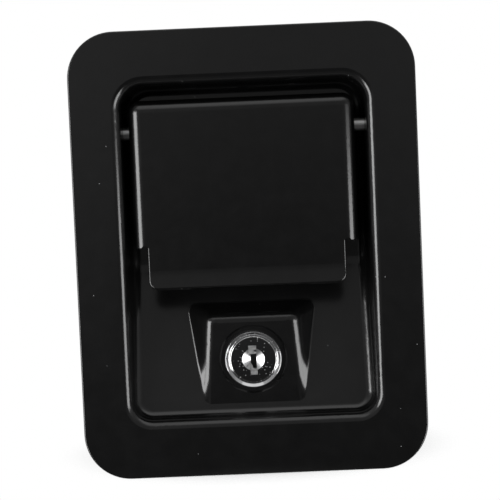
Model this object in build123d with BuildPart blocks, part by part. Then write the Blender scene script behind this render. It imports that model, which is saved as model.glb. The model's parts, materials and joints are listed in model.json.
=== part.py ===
from build123d import *
import os
from math import asin, atan2, cos, degrees, pi, radians, sin, tan

# Flush paddle latch with a key cylinder, for the door of an equipment enclosure.
# X is to the right seen from the front, Y goes into the door and Z is up, in millimetres.
# The origin is the centre of the flange's back plane, which lies against the door.

# Pan: one pressed sheet with a flange, a recess, a finger ramp and a raised block for the lock
pan_sheet = 1.5
recess_width = 76.8
recess_depth = 20.0
pin_below_rim = 15.1
pin_to_lock = 72.7
lock_above_rim = 17.6
flange_side_band = 15.6
flange_top_band = 16.7
flange_bottom_band = 17.9
flange_corner = 14.5
flange_edge_round = 0.5
recess_top_corner = 7.6
recess_bottom_corner = 6.2
wall_draft = 1.5
rim_radius = 2.6
floor_radius = 3.0
crease_radius = 9.0
crease_below_pin = 43.55
boss_depth = 7.5
boss_rise = 3.1
boss_drop = 14.0
boss_margin = 2.65
boss_flare = 4.6
boss_side_lean = 38.5
boss_top_lean = 20.0
boss_edge_radius = 3.2
boss_corner_radius = 3.4
boss_base_radius = 0.9
boss_back_radius = 2.0
dimple_gap = 1.65
dimple_depth = 0.6

# Paddle: folded plate that turns on the pivot pin
paddle_sheet = 2.0
paddle_set_back = 2.0
paddle_side_gap = 3.05
paddle_side_play = 0.6
paddle_top_gap = 5.0
fold_length = 46.3
fold_radius = 3.8
fold_inner_radius = 1.8
ear_top_drop = 3.0
ear_foot_reach = 7.0
ear_eye_radius = 5.2
top_flange_reach = 5.5
tongue_step = 4.4
lip_below_fold = 7.0
lip_bend_radius = 22.0
lip_bend_angle = 15.0
tongue_corner = 2.8
notch_radius = 1.0
paddle_edge_round = 0.5

# Pivot pin and its snap ring
pin_radius = 2.0
pin_off_floor = 8.0
pin_head_radius = 3.4
pin_head_thickness = 1.2
pin_tail = 1.6
clip_thickness = 0.7
clip_width = 1.9
clip_groove = 0.45
clip_mouth = 2.6
turning_clearance = 0.06

# Drive lever on the back of the paddle
lever_thickness = 3.0
lever_length = 15.0
lever_lift = 22.5
lever_tip_radius = 2.2
lever_neck = 3.2
lever_neck_start = 8.0
lever_eye_radius = 4.8
lever_base_sheet = 2.0
lever_base_width = 18.0
lever_base_height = 20.0
lever_slot_side_gap = 1.0
lever_slot_corner = 1.25
lever_stop_gap = 0.2
paddle_swing = 45.0

# Latch bolt, its tail and its housing behind the pan
bolt_width = 24.0
bolt_thickness = 9.0
bolt_length = 46.0
bolt_below_pin = 18.2
bolt_bevel_length = 9.5
bolt_nose_land = 2.4
bolt_nose_round = 0.8
sliding_gap = 0.2
lug_gap = 0.15
window_side_gap = 1.0
tail_sheet = 1.5
tail_width = 16.0
tail_seat_height = 13.0
tail_shoulder_drop = 6.0
tail_arm_width = 5.5
tail_arm_gap = 1.5
tail_bend_round = 1.35
tab_reach = 5.2
tail_rivet_radius = 1.5
tail_rivet_margin = 2.0
housing_sheet = 1.5
housing_length = 40.0
housing_overhang = 6.0
housing_flange = 8.3
housing_rim_gap = 5.6
housing_bend_radius = 2.0
housing_rivet_margin = 5.0

# Compression spring under the bolt, with its bracket and guide
spring_wire = 0.8
spring_mean_radius = 2.5
spring_turns = 8.0
spring_room = 14.5
spring_pocket_radius = 3.0
spring_pocket_depth = 8.0
bracket_sheet = 1.5
bracket_width = 18.0
bracket_height = 8.5
bracket_bend_round = 1.35
bracket_rivet_margin = 3.5
guide_radius = 1.5
guide_length = 6.5
guide_tip_chamfer = 0.5
guide_flange_radius = 2.2
guide_flange_thickness = 0.8

# Torsion spring on the pivot pin
torsion_wire = 1.3
torsion_mean_radius = 3.1
torsion_turns = 6.0
torsion_leg = 14.0
torsion_start = 4.4

# Rivets that hold sheet to sheet
rivet_radius = 1.6
rivet_head_radius = 3.0
rivet_head_height = 1.1
rivet_head_round = 0.99
rivet_hole_gap = 0.05

# Weld studs and gasket behind the flange
stud_radius = 2.5
stud_length = 16.0
stud_tip_chamfer = 0.6
stud_from_end = 14.0
gasket_thickness = 2.0
gasket_inset = 1.0
gasket_gap = 2.1
gasket_inner_corner = 5.0
gasket_hole_gap = 1.2

# Cylinder lock
plug_radius = 5.5
barrel_wall = 2.5
barrel_flat_depth = 1.0
barrel_length = 24.4
barrel_hole_gap = 0.1
bezel_lip = 1.25
bezel_thickness = 2.4
bezel_round = 0.9
bezel_inner_chamfer = 0.22
bezel_band = 1.65
plug_head_thickness = 1.15
plug_head_sink = 0.3
plug_running_gap = 0.05
face_cone_radius = 3.6
face_cone_depth = 1.0
keyway_wall = 0.8
keyway_width = 2.3
keyway_depth = 22.0
shutter_sink = 0.9
shutter_thickness = 0.5
shutter_slot_height = 4.6
shutter_slot_width = 1.7
wafer_count = 6
wafer_thickness = 0.9
wafer_width = 5.2
wafer_pitch = 2.5
wafer_first = 5.0
wafer_gap = 0.1
wafer_land = 0.55
wafer_window_width = 2.8
wafer_window_height = 5.4
nut_wall = 1.5
nut_thickness = 4.0
nut_chamfer = 0.8
washer_width = 1.9
washer_thickness = 0.8
washer_tooth = 0.8
washer_teeth = 14
drive_square = 7.0
drive_corner = 0.4
cam_thickness = 2.0
cam_gap = 0.1
cam_hub_wall = 3.1
cam_arm_width = 6.0
cam_arm_past = 2.0
cam_stop_gap = 0.6
cam_washer_width = 2.6
cam_washer_thickness = 0.8
cam_screw_radius = 2.0
cam_screw_head_width = 1.9
cam_screw_head_height = 2.6
cam_screw_head_round = 1.5
cam_screw_slot_length = 3.9
cam_screw_slot_width = 0.9
cam_screw_slot_depth = 1.3
cam_screw_length = 9.0

# Heights and half widths worked out from the sizes above
recess_height = pin_below_rim + pin_to_lock + lock_above_rim
flange_width = recess_width + 2 * flange_side_band
flange_height = recess_height + flange_top_band + flange_bottom_band
recess_top = flange_height / 2 - flange_top_band
recess_bottom = flange_bottom_band - flange_height / 2
pin_height = recess_top - pin_below_rim
lock_height = recess_bottom + lock_above_rim
paddle_width = recess_width - 2 * paddle_side_gap
paddle_top = recess_top - paddle_top_gap
ear_top = paddle_top - ear_top_drop
ear_bottom = paddle_top - fold_length
tongue_width = paddle_width - 2 * tongue_step
lip_bend_start = ear_bottom - lip_below_fold
clip_radius = pin_radius + clip_width
bolt_bottom = pin_height - bolt_below_pin
bolt_nose = bolt_bottom + bolt_length
bolt_bevel_start = bolt_nose - bolt_bevel_length
tail_bend_top = bolt_bottom - tail_shoulder_drop
tail_rivet_x = tail_width / 2 - tail_rivet_margin
bracket_rivet_x = bracket_width / 2 - bracket_rivet_margin
housing_bottom = bolt_bottom - housing_overhang
housing_top = housing_bottom + housing_length
housing_flange_top = recess_top - housing_rim_gap
bracket_shelf = bolt_bottom - spring_room
barrel_radius = plug_radius + barrel_wall
barrel_flats = 2 * (barrel_radius - barrel_flat_depth)
bezel_radius = barrel_radius + bezel_lip
plug_head_radius = bezel_radius - bezel_band
dimple_radius = bezel_radius + dimple_gap
boss_top = lock_height + dimple_radius + boss_rise
boss_foot = lock_height - boss_drop
boss_top_width = 2 * (dimple_radius + boss_margin)
boss_foot_width = boss_top_width + boss_flare
nut_across_flats = 2 * (barrel_radius + nut_wall)
washer_radius = barrel_radius + washer_width
keyway_height = 2 * (plug_radius - keyway_wall)
wafer_height = 2 * (plug_radius - wafer_land)
tail_arm_start = barrel_radius + tail_arm_gap
tail_arm_end = tail_arm_start + tail_arm_width
cam_arm_length = tail_arm_end + cam_arm_past
cam_hub_radius = drive_square / 2 + cam_hub_wall
cam_washer_radius = cam_screw_radius + cam_washer_width
cam_screw_head_radius = cam_screw_radius + cam_screw_head_width

# Depths along Y worked out from the sizes above
front_y = -pan_sheet
boss_y = front_y + boss_depth
floor_y = front_y + recess_depth
pan_back_y = floor_y + pan_sheet
paddle_y = front_y + paddle_set_back
paddle_back_y = paddle_y + paddle_sheet
pin_y = floor_y - pin_off_floor
bolt_front_y = pan_back_y + sliding_gap
bolt_back_y = bolt_front_y + bolt_thickness
tail_y = bolt_back_y - tail_sheet
housing_inner_y = bolt_back_y + sliding_gap
lock_seat_y = boss_y + dimple_depth
bezel_y = lock_seat_y - bezel_thickness
barrel_end_y = lock_seat_y + barrel_length
cam_y = barrel_end_y + cam_gap
cam_back_y = cam_y + cam_thickness

# The ramp rises from the foot of the raised block to the crease where the floor begins
ramp_angle = degrees(atan2(floor_y - boss_y, pin_height - crease_below_pin - boss_foot))


def across(y):
    """The plane across the lock at depth y, its normal towards the front."""
    return Plane.XZ.offset(-y)


def wall_x(y, grow=0.0):
    """How far the recess's side wall stands from the middle at depth y."""
    return recess_width / 2 + grow - (y - front_y) * tan(radians(wall_draft))


def ramp_y(z, grow=0.0):
    """The ramp's depth at height z. It meets the raised block's face at the block's foot."""
    return boss_y + (z - boss_foot) * tan(radians(ramp_angle)) + grow / cos(radians(ramp_angle))


def ramp_z(y, grow=0.0):
    """The height at which the ramp's plane is at depth y."""
    return boss_foot + (y - ramp_y(boss_foot, grow)) / tan(radians(ramp_angle))


def shared_edges(first, second):
    """The edges that two groups of faces have in common."""
    others = second.edges()
    return ShapeList(edge for edge in first.edges() if any(edge.is_same(other) for other in others))


def recess_form(grow, start_y):
    """The space inside the recess's walls, floor and ramp, grown by one sheet for its outside."""
    end_y = floor_y + grow
    with BuildPart() as form:
        for y in (start_y, end_y):
            lean = (y - front_y) * tan(radians(wall_draft))
            low = recess_bottom - grow + lean
            high = recess_top + grow - lean
            with BuildSketch(across(y)) as outline:
                with Locations((0, (low + high) / 2)):
                    Rectangle(2 * wall_x(y, grow), high - low)
                rows = outline.vertices().group_by(Axis.Y)
                fillet(rows[0], radius=recess_bottom_corner + grow)
                fillet(outline.vertices().group_by(Axis.Y)[-1], radius=recess_top_corner + grow)
        loft(ruled=True)
        low_z = recess_bottom - flange_corner
        far_y = end_y + recess_depth
        with BuildSketch(Plane.YZ):
            with BuildLine():
                Polyline(
                    (ramp_y(low_z, grow), low_z),
                    (far_y, ramp_z(far_y, grow)),
                    (far_y, low_z),
                    close=True,
                )
            make_face()
        extrude(amount=flange_width, both=True, mode=Mode.SUBTRACT)
        crease_z = ramp_z(end_y, grow)
        crease = form.edges().filter_by(Axis.X).sort_by(
            lambda edge: abs(edge.center().Y - end_y) + abs(edge.center().Z - crease_z)
        )[0]
        fillet(crease, radius=crease_radius + grow)
        bottoms = form.faces().filter_by(lambda face: face.normal_at().Y > 0.8)
        walls = form.faces().filter_by(lambda face: abs(face.normal_at().Y) < 0.3)
        fillet(shared_edges(bottoms, walls), radius=floor_radius + grow)
    return form.part


def boss_form(inset):
    """The raised block for the lock: a face parallel to the flange, with leaning sides and top."""
    side_shift = inset / cos(radians(boss_side_lean))
    top_shift = inset / cos(radians(boss_top_lean))
    flare = (boss_foot_width - boss_top_width) / 2 / (boss_top - boss_foot)
    low_z = recess_bottom - flange_corner
    with BuildPart() as form:
        for y in (boss_y + inset, floor_y + recess_depth):
            deep = y - boss_y
            high_z = boss_top + deep * tan(radians(boss_top_lean)) - top_shift

            def half(z):
                side = deep * tan(radians(boss_side_lean)) - side_shift
                return boss_top_width / 2 + (boss_top - z) * flare + side

            with BuildSketch(across(y)):
                with BuildLine():
                    Polyline(
                        (-half(high_z), high_z),
                        (half(high_z), high_z),
                        (half(low_z), low_z),
                        (-half(low_z), low_z),
                        close=True,
                    )
                make_face()
        loft(ruled=True)
        face_y = boss_y + inset
        running_back = form.edges().filter_by(
            lambda edge: abs(edge.start_point().Y - edge.end_point().Y) > 1
        )
        fillet(running_back.group_by(Axis.Z)[-1], radius=boss_corner_radius - inset)
        face = form.faces().sort_by(Axis.Y)[0]
        upper = face.edges().filter_by(lambda edge: edge.center().Z > low_z + 1)
        fillet(upper, radius=boss_edge_radius - inset)
    return form.part


def block_base(space):
    """The edges along which the raised block's sides and top meet the recess round it."""
    reach = boss_foot_width / 2 + (floor_y - boss_y) * tan(radians(boss_side_lean))
    block = space.faces().filter_by(lambda face: face.bounding_box().max.X < reach)
    block = block.filter_by(lambda face: face.bounding_box().min.X > -reach)
    others = ShapeList(face for face in space.faces() if face not in block)
    return shared_edges(block, others).filter_by(
        lambda edge: abs(edge.center().X) > 1 or edge.center().Z > lock_height
    )


def rivets(spots, near_y, far_y):
    """Domed rivets along Y through sheets that lie from near_y to far_y."""
    with BuildPart() as group:
        for y, length, radius in (
            (near_y, rivet_head_height, rivet_head_radius),
            (far_y, far_y - near_y, rivet_radius),
            (far_y + rivet_head_height, rivet_head_height, rivet_head_radius),
        ):
            with BuildSketch(across(y)):
                with Locations(*spots):
                    Circle(radius)
            extrude(amount=length)
        for row in (0, -1):
            ends = group.faces().filter_by(Axis.Y).group_by(Axis.Y)[row]
            fillet(ends.edges(), radius=rivet_head_round)
    return group.part


def rods(spots, radius, y, length):
    """Round rods along Y, from depth y towards the front, to cut holes with."""
    with BuildPart() as group:
        with BuildSketch(across(y)):
            with Locations(*spots):
                Circle(radius)
        extrude(amount=length)
    return group.part


housing_outer_x = bolt_width / 2 + sliding_gap + housing_sheet
housing_rivet_x = housing_outer_x + housing_flange / 2
housing_rivet_spots = [
    (side * housing_rivet_x, z)
    for side in (-1, 1)
    for z in (housing_bottom + housing_rivet_margin, housing_flange_top - housing_rivet_margin)
]
bracket_bottom = bracket_shelf - bracket_height
bracket_rivet_spots = [
    (side * bracket_rivet_x, bracket_bottom + (bracket_height - bracket_sheet) / 2)
    for side in (-1, 1)
]

# The lever's tip swings evenly above and below the pin, so the bolt moves almost in proportion
tip_y = pin_y + lever_length * cos(radians(lever_lift))
tip_z = pin_height + lever_length * sin(radians(lever_lift))


def neck_low(y):
    """The height of the lever neck's lower side at depth y, at rest."""
    half = lever_neck / 2
    back = tip_y + half * sin(radians(lever_lift)) - y
    return tip_z - half * cos(radians(lever_lift)) - back * tan(radians(lever_lift))


slot_rise = (
    (pan_back_y - pin_y) * tan(radians(lever_lift))
    + lever_neck / 2 / cos(radians(lever_lift))
    + lever_stop_gap
)
slot_width = lever_thickness + 2 * lever_slot_side_gap

# Pan
recess_skin = recess_form(pan_sheet, front_y)
recess_space = recess_form(0, front_y - 1)
boss_hollow = boss_form(pan_sheet)
boss_block = boss_form(0)

rivet_cutters = rods(
    housing_rivet_spots + bracket_rivet_spots,
    rivet_radius + rivet_hole_gap,
    pan_back_y + max(housing_sheet, bracket_sheet),
    pan_sheet + max(housing_sheet, bracket_sheet),
)

with BuildPart() as pressed:
    add(recess_skin)
    add(boss_hollow, mode=Mode.SUBTRACT)
    fillet(block_base(pressed.part), radius=boss_back_radius)
    with BuildSketch(across(lock_seat_y + pan_sheet)):
        with Locations((0, lock_height)):
            Circle(dimple_radius + dimple_depth)
    extrude(amount=dimple_depth + pan_sheet)

with BuildPart() as punched:
    add(recess_space)
    add(boss_block, mode=Mode.SUBTRACT)
    fillet(block_base(punched.part), radius=boss_base_radius)

with BuildPart() as pan:
    with BuildSketch(across(0)):
        RectangleRounded(flange_width, flange_height, flange_corner)
    extrude(amount=pan_sheet)
    fillet(pan.faces().sort_by(Axis.Y)[0].edges(), radius=flange_edge_round)
    add(pressed.part)
    back_face = pan.faces().filter_by(
        lambda face: face.normal_at().Y > 0.99 and abs(face.center().Y) < 0.01
    ).sort_by(SortBy.AREA)[-1]
    fillet(back_face.inner_wires()[0].edges(), radius=rim_radius - pan_sheet)
    add(punched.part, mode=Mode.SUBTRACT)
    fillet(pan.faces().sort_by(Axis.Y)[0].inner_wires()[0].edges(), radius=rim_radius)
    # Dimple round the lock and the lock's hole with two flats
    with BuildSketch(across(lock_seat_y)):
        with Locations((0, lock_height)):
            Circle(dimple_radius - dimple_depth)
    extrude(amount=dimple_depth + dimple_depth, taper=-45, mode=Mode.SUBTRACT)
    with BuildSketch(across(lock_seat_y + 2 * pan_sheet)):
        with Locations((0, lock_height)):
            Circle(barrel_radius + barrel_hole_gap)
            Rectangle(
                barrel_flats + 2 * barrel_hole_gap, 2 * barrel_radius + pan_sheet, mode=Mode.INTERSECT
            )
    extrude(amount=3 * pan_sheet, mode=Mode.SUBTRACT)
    # Holes for the pivot pin, slot for the drive lever and holes for the rivets
    with BuildSketch(Plane.YZ):
        with Locations((pin_y, pin_height)):
            Circle(pin_radius + rivet_hole_gap)
    extrude(amount=flange_width / 2, both=True, mode=Mode.SUBTRACT)
    with BuildSketch(across(pan_back_y)):
        with Locations((0, pin_height)):
            RectangleRounded(slot_width, 2 * slot_rise, lever_slot_corner)
    extrude(amount=pan_sheet, mode=Mode.SUBTRACT)
    add(rivet_cutters, mode=Mode.SUBTRACT)

# Gasket and weld studs behind the flange
gasket_outer_x = flange_width / 2 - gasket_inset
gasket_outer_z = flange_height / 2 - gasket_inset
gasket_inner_x = recess_width / 2 + pan_sheet + gasket_gap
gasket_inner_top = recess_top + pan_sheet + gasket_gap
gasket_inner_bottom = recess_bottom - pan_sheet - gasket_gap
stud_x = (gasket_inner_x + gasket_outer_x) / 2
stud_z = flange_height / 2 - stud_from_end
stud_spots = [(sx * stud_x, sz * stud_z) for sx in (-1, 1) for sz in (-1, 1)]

with BuildPart() as flange_gasket:
    with BuildSketch(across(gasket_thickness)):
        RectangleRounded(2 * gasket_outer_x, 2 * gasket_outer_z, flange_corner - gasket_inset)
        with Locations((0, (gasket_inner_top + gasket_inner_bottom) / 2)):
            RectangleRounded(
                2 * gasket_inner_x,
                gasket_inner_top - gasket_inner_bottom,
                gasket_inner_corner,
                mode=Mode.SUBTRACT,
            )
        with Locations(*stud_spots):
            Circle(stud_radius + gasket_hole_gap, mode=Mode.SUBTRACT)
    extrude(amount=gasket_thickness)

with BuildPart() as mounting_studs:
    with BuildSketch(across(stud_length)):
        with Locations(*stud_spots):
            Circle(stud_radius)
    extrude(amount=stud_length)
    chamfer(mounting_studs.faces().group_by(Axis.Y)[-1].edges(), length=stud_tip_chamfer)

# Pivot pin with a formed head on one end and a snap ring in a groove on the other
pin_wall_x = wall_x(pin_y - clip_radius, pan_sheet) + rivet_hole_gap
pin_head_x = -pin_wall_x - pin_head_thickness
pin_groove_x = pin_wall_x
pin_end_x = pin_groove_x + clip_thickness + rivet_hole_gap + pin_tail

with BuildPart() as pivot_pin:
    with BuildSketch(Plane.YZ.offset(pin_head_x)):
        with Locations((pin_y, pin_height)):
            Circle(pin_head_radius)
    extrude(amount=pin_head_thickness)
    fillet(pivot_pin.faces().sort_by(Axis.X)[0].edges(), radius=pin_head_thickness / 2)
    with BuildSketch(Plane.YZ.offset(-pin_wall_x)):
        with Locations((pin_y, pin_height)):
            Circle(pin_radius)
    extrude(amount=pin_end_x + pin_wall_x)
    chamfer(pivot_pin.faces().sort_by(Axis.X)[-1].edges(), length=clip_groove)
    with BuildSketch(Plane.YZ.offset(pin_groove_x)):
        with Locations((pin_y, pin_height)):
            Circle(pin_radius + clip_groove)
            Circle(pin_radius - clip_groove, mode=Mode.SUBTRACT)
    extrude(amount=clip_thickness + rivet_hole_gap, mode=Mode.SUBTRACT)

groove_radius = pin_radius - clip_groove + rivet_hole_gap / 2

with BuildPart() as pin_clip:
    with BuildSketch(Plane.YZ.offset(pin_groove_x + rivet_hole_gap / 2)):
        with Locations((pin_y, pin_height)):
            Circle(clip_radius)
            Circle(pin_radius + clip_groove, mode=Mode.SUBTRACT)
            with PolarLocations((clip_radius + groove_radius) / 2, 3, start_angle=90):
                Rectangle(clip_radius - groove_radius - clip_groove, clip_radius / 2)
            Circle(groove_radius, mode=Mode.SUBTRACT)
        with Locations((pin_y, pin_height - clip_radius)):
            Rectangle(clip_mouth, 2 * clip_radius - groove_radius, mode=Mode.SUBTRACT)
    extrude(amount=clip_thickness)

# Paddle: a face with a folded ear on each side, a short fold along the top and a flared lip
paddle_height = paddle_top - ear_bottom
ear_reach = pin_y + ear_eye_radius - paddle_y

with BuildPart() as paddle_inside:
    inside_top = paddle_top - paddle_sheet
    with BuildSketch(across(paddle_back_y + 2 * ear_reach)):
        with Locations((0, inside_top - paddle_height)):
            Rectangle(paddle_width - 2 * paddle_sheet, 2 * paddle_height)
    extrude(amount=2 * ear_reach)
    front = paddle_inside.faces().sort_by(Axis.Y)[0]
    inner_corners = paddle_inside.edges().filter_by(Axis.Y).group_by(Axis.Z)[-1]
    fillet(front.edges().sort_by(Axis.Z)[1:] + inner_corners, radius=fold_inner_radius)

with BuildPart() as paddle:
    with BuildSketch(across(paddle_y + ear_reach)):
        with Locations((0, paddle_top - paddle_height / 2)):
            Rectangle(paddle_width, paddle_height)
    extrude(amount=ear_reach)
    front = paddle.faces().sort_by(Axis.Y)[0]
    side_and_top = front.edges().sort_by(Axis.Z)[1:]
    top_corners = paddle.edges().filter_by(Axis.Y).group_by(Axis.Z)[-1]
    fillet(side_and_top + top_corners, radius=fold_radius)
    add(paddle_inside.part, mode=Mode.SUBTRACT)
    # The ears narrow from the eye round the pin down to their foot
    with BuildSketch(Plane.YZ):
        with BuildLine():
            Polyline(
                (paddle_y, ear_bottom),
                (paddle_y + ear_foot_reach, ear_bottom),
                (pin_y, ear_top),
                (paddle_y, ear_top),
                close=True,
            )
            CenterArc((pin_y, pin_height), ear_eye_radius, 0, 360)
        make_hull()
        with Locations((paddle_y + top_flange_reach / 2, ear_top)):
            Rectangle(top_flange_reach, 2 * (paddle_top - ear_top))
    extrude(amount=paddle_width, both=True, mode=Mode.INTERSECT)
    # Softened lower edge of the folds
    foot = paddle.faces().filter_by(Axis.Z).sort_by(Axis.Z)[0].edges()
    outside = foot.filter_by(
        lambda edge: edge.center().Y < paddle_y + paddle_edge_round
        or abs(edge.center().X) > paddle_width / 2 - 0.75 * paddle_sheet
    )
    fillet(outside, radius=paddle_edge_round)
    # Open corners between the top fold and the ears
    relief = paddle_top - ear_top
    with BuildSketch(across(paddle_y + ear_reach)):
        for side in (-1, 1):
            with Locations((side * (paddle_width / 2), ear_top + relief)):
                Rectangle(2 * relief, 2 * relief)
    extrude(amount=ear_reach - fold_radius - paddle_edge_round, mode=Mode.SUBTRACT)
    # The eyes turn on the pin
    with BuildSketch(Plane.YZ):
        with Locations((pin_y, pin_height)):
            Circle(pin_radius + turning_clearance)
    extrude(amount=paddle_width, both=True, mode=Mode.SUBTRACT)

with BuildPart() as tongue:
    with BuildSketch(Plane.YZ):
        bend_y = paddle_y - lip_bend_radius
        outer = lip_bend_radius + paddle_sheet
        turn = radians(lip_bend_angle)
        with BuildLine():
            Line((paddle_y, lip_bend_start), (paddle_y, ear_bottom + notch_radius))
            Line((paddle_y, ear_bottom + notch_radius), (paddle_back_y, ear_bottom + notch_radius))
            Line((paddle_back_y, ear_bottom + notch_radius), (paddle_back_y, lip_bend_start))
            CenterArc((bend_y, lip_bend_start), outer, 0, -lip_bend_angle)
            Line(
                (bend_y + outer * cos(turn), lip_bend_start - outer * sin(turn)),
                (bend_y + lip_bend_radius * cos(turn), lip_bend_start - lip_bend_radius * sin(turn)),
            )
            CenterArc((bend_y, lip_bend_start), lip_bend_radius, 0, -lip_bend_angle)
        make_face()
    extrude(amount=tongue_width / 2, both=True)
    ends = tongue.faces().sort_by(Axis.Z)[0].edges().filter_by(
        lambda edge: abs(edge.center().X) > tongue_width / 2 - 0.01
    )
    fillet(ends, radius=tongue_corner)
    shown = tongue.faces().filter_by(lambda face: face.normal_at().Y < -0.9)
    border = tongue.faces().filter_by(
        lambda face: abs(face.normal_at().Y) < 0.3 and face.normal_at().Z < 0.9
    )
    fillet(shared_edges(shown, border), radius=paddle_edge_round)

with BuildPart() as whole_paddle:
    add(paddle.part)
    add(tongue.part)
    # Rounded notch where each ear ends above the tongue
    with BuildSketch(across(paddle_back_y)):
        for side in (-1, 1):
            with Locations((side * (tongue_width / 2 + notch_radius), ear_bottom)):
                Circle(notch_radius)
    extrude(amount=paddle_sheet, mode=Mode.SUBTRACT)

# The paddle rests to the left on its pin, within its side play
shifted_paddle = Pos(-paddle_side_play, 0, 0) * whole_paddle.part

# Drive lever: a base welded to the back of the paddle and an arm that passes through the pan
neck_y = pin_y + lever_neck_start * cos(radians(lever_lift))
neck_z = pin_height + lever_neck_start * sin(radians(lever_lift))

with BuildPart() as drive_lever:
    with BuildSketch(Plane.YZ):
        with BuildLine():
            Polyline(
                (paddle_back_y, pin_height - lever_base_height / 2),
                (paddle_back_y + lever_base_sheet, pin_height - lever_base_height / 2),
                (paddle_back_y + lever_base_sheet, pin_height + lever_eye_radius),
                (paddle_back_y, pin_height + lever_eye_radius),
                close=True,
            )
            CenterArc((pin_y, pin_height), lever_eye_radius, 0, 360)
        make_hull()
    extrude(amount=lever_thickness / 2, both=True)
    with BuildSketch(Plane.YZ):
        with BuildLine():
            CenterArc((pin_y, pin_height), lever_eye_radius, 0, 360)
            CenterArc((neck_y, neck_z), lever_neck / 2, 0, 360)
        make_hull()
    extrude(amount=lever_thickness / 2, both=True)
    with BuildSketch(Plane.YZ):
        with BuildLine():
            CenterArc((neck_y, neck_z), lever_neck / 2, 0, 360)
            CenterArc((tip_y, tip_z), lever_neck / 2, 0, 360)
        make_hull()
        with Locations((tip_y, tip_z)):
            Circle(lever_tip_radius)
    extrude(amount=lever_thickness / 2, both=True)
    base_top = pin_height + lever_eye_radius
    with BuildSketch(across(paddle_back_y + lever_base_sheet)):
        with Locations((0, base_top - lever_base_height / 2)):
            RectangleRounded(lever_base_width, lever_base_height, lever_base_sheet)
    extrude(amount=lever_base_sheet)
    with BuildSketch(Plane.YZ):
        with Locations((pin_y, pin_height)):
            Circle(pin_radius + turning_clearance)
    extrude(amount=lever_thickness, both=True, mode=Mode.SUBTRACT)

# Latch bolt: a block with a bevelled nose, a window for the lever and a pocket for its spring
window_bottom = tip_z - lever_tip_radius - lug_gap
bolt_travel = 2 * lever_length * sin(radians(paddle_swing / 2))
window_top = tip_z + lever_tip_radius + bolt_travel + lug_gap
spring_y = bolt_front_y + (bolt_thickness - tail_sheet) / 2
tail_seat_top = bolt_bottom + tail_seat_height
tail_rivet_z = bolt_bottom + tail_seat_height / 2

with BuildPart() as latch_bolt:
    with BuildSketch(Plane.YZ):
        with BuildLine():
            Polyline(
                (bolt_front_y, bolt_bottom),
                (bolt_back_y, bolt_bottom),
                (bolt_back_y, bolt_bevel_start),
                (bolt_front_y + bolt_nose_land, bolt_nose),
                (bolt_front_y, bolt_nose),
                close=True,
            )
        make_face()
    extrude(amount=bolt_width / 2, both=True)
    nose = latch_bolt.edges().filter_by(Axis.X).sort_by(Axis.Z)[-2:]
    fillet(nose, radius=bolt_nose_round)
    with BuildSketch(across(bolt_back_y)):
        with Locations((0, (window_bottom + window_top) / 2)):
            Rectangle(lever_thickness + 2 * window_side_gap, window_top - window_bottom)
    extrude(amount=bolt_thickness, mode=Mode.SUBTRACT)
    # Relief in front of the lug, where the lever's neck rises to its tip
    relief_z = window_bottom + 2 * lug_gap
    with BuildSketch(Plane.YZ):
        with BuildLine():
            Polyline(
                (bolt_front_y, neck_low(bolt_front_y) - 2 * lug_gap),
                (tip_y - (neck_low(tip_y) - relief_z) / tan(radians(lever_lift)), window_bottom),
                (bolt_front_y, window_bottom),
                close=True,
            )
        make_face()
    extrude(amount=lever_thickness / 2 + window_side_gap, both=True, mode=Mode.SUBTRACT)
    with BuildSketch(across(bolt_back_y)):
        with Locations((0, bolt_bottom + tail_seat_height / 2)):
            Rectangle(tail_width + 2 * sliding_gap, tail_seat_height + 2 * sliding_gap)
    extrude(amount=tail_sheet, mode=Mode.SUBTRACT)
    with BuildSketch(Plane.XY.offset(bolt_bottom)):
        with Locations((0, spring_y)):
            Circle(spring_pocket_radius)
    extrude(amount=spring_pocket_depth, mode=Mode.SUBTRACT)
    with BuildSketch(across(bolt_back_y)):
        with Locations(*[(side * tail_rivet_x, tail_rivet_z) for side in (-1, 1)]):
            Circle(tail_rivet_radius + rivet_hole_gap)
    extrude(amount=bolt_thickness, mode=Mode.SUBTRACT)

# Bolt tail: a strip past the lock, with a tab bent over the cam's path
tab_bottom = lock_height + cam_arm_width / 2 + cam_stop_gap

with BuildPart() as bolt_tail:
    with BuildSketch(across(bolt_back_y)):
        with BuildLine():
            Polyline(
                (-tail_width / 2, tail_seat_top),
                (tail_width / 2, tail_seat_top),
                (tail_width / 2, tail_bend_top),
                (tail_arm_end, tail_bend_top - tail_arm_end + tail_width / 2),
                (tail_arm_end, tab_bottom),
                (tail_arm_start, tab_bottom),
                (tail_arm_start, tail_bend_top - tail_arm_end - tail_arm_start + tail_width / 2),
                (-tail_width / 2, tail_bend_top),
                close=True,
            )
        make_face()
        with Locations(*[(side * tail_rivet_x, tail_rivet_z) for side in (-1, 1)]):
            Circle(tail_rivet_radius + rivet_hole_gap, mode=Mode.SUBTRACT)
    extrude(amount=tail_sheet)
    with BuildSketch(across(bolt_back_y + tab_reach)):
        with Locations((tail_arm_start + tail_arm_width / 2, tab_bottom + tail_sheet / 2)):
            Rectangle(tail_arm_width, tail_sheet)
    extrude(amount=tab_reach)
    bend = bolt_tail.edges().filter_by(Axis.X)
    outer_bend = bend.sort_by(lambda e: abs(e.center().Y - tail_y) + abs(e.center().Z - tab_bottom))[0]
    fillet(outer_bend, radius=tail_bend_round)

with BuildPart() as tail_rivets:
    with BuildSketch(across(bolt_back_y)):
        with Locations(*[(side * tail_rivet_x, tail_rivet_z) for side in (-1, 1)]):
            Circle(tail_rivet_radius)
    extrude(amount=bolt_thickness)

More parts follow.
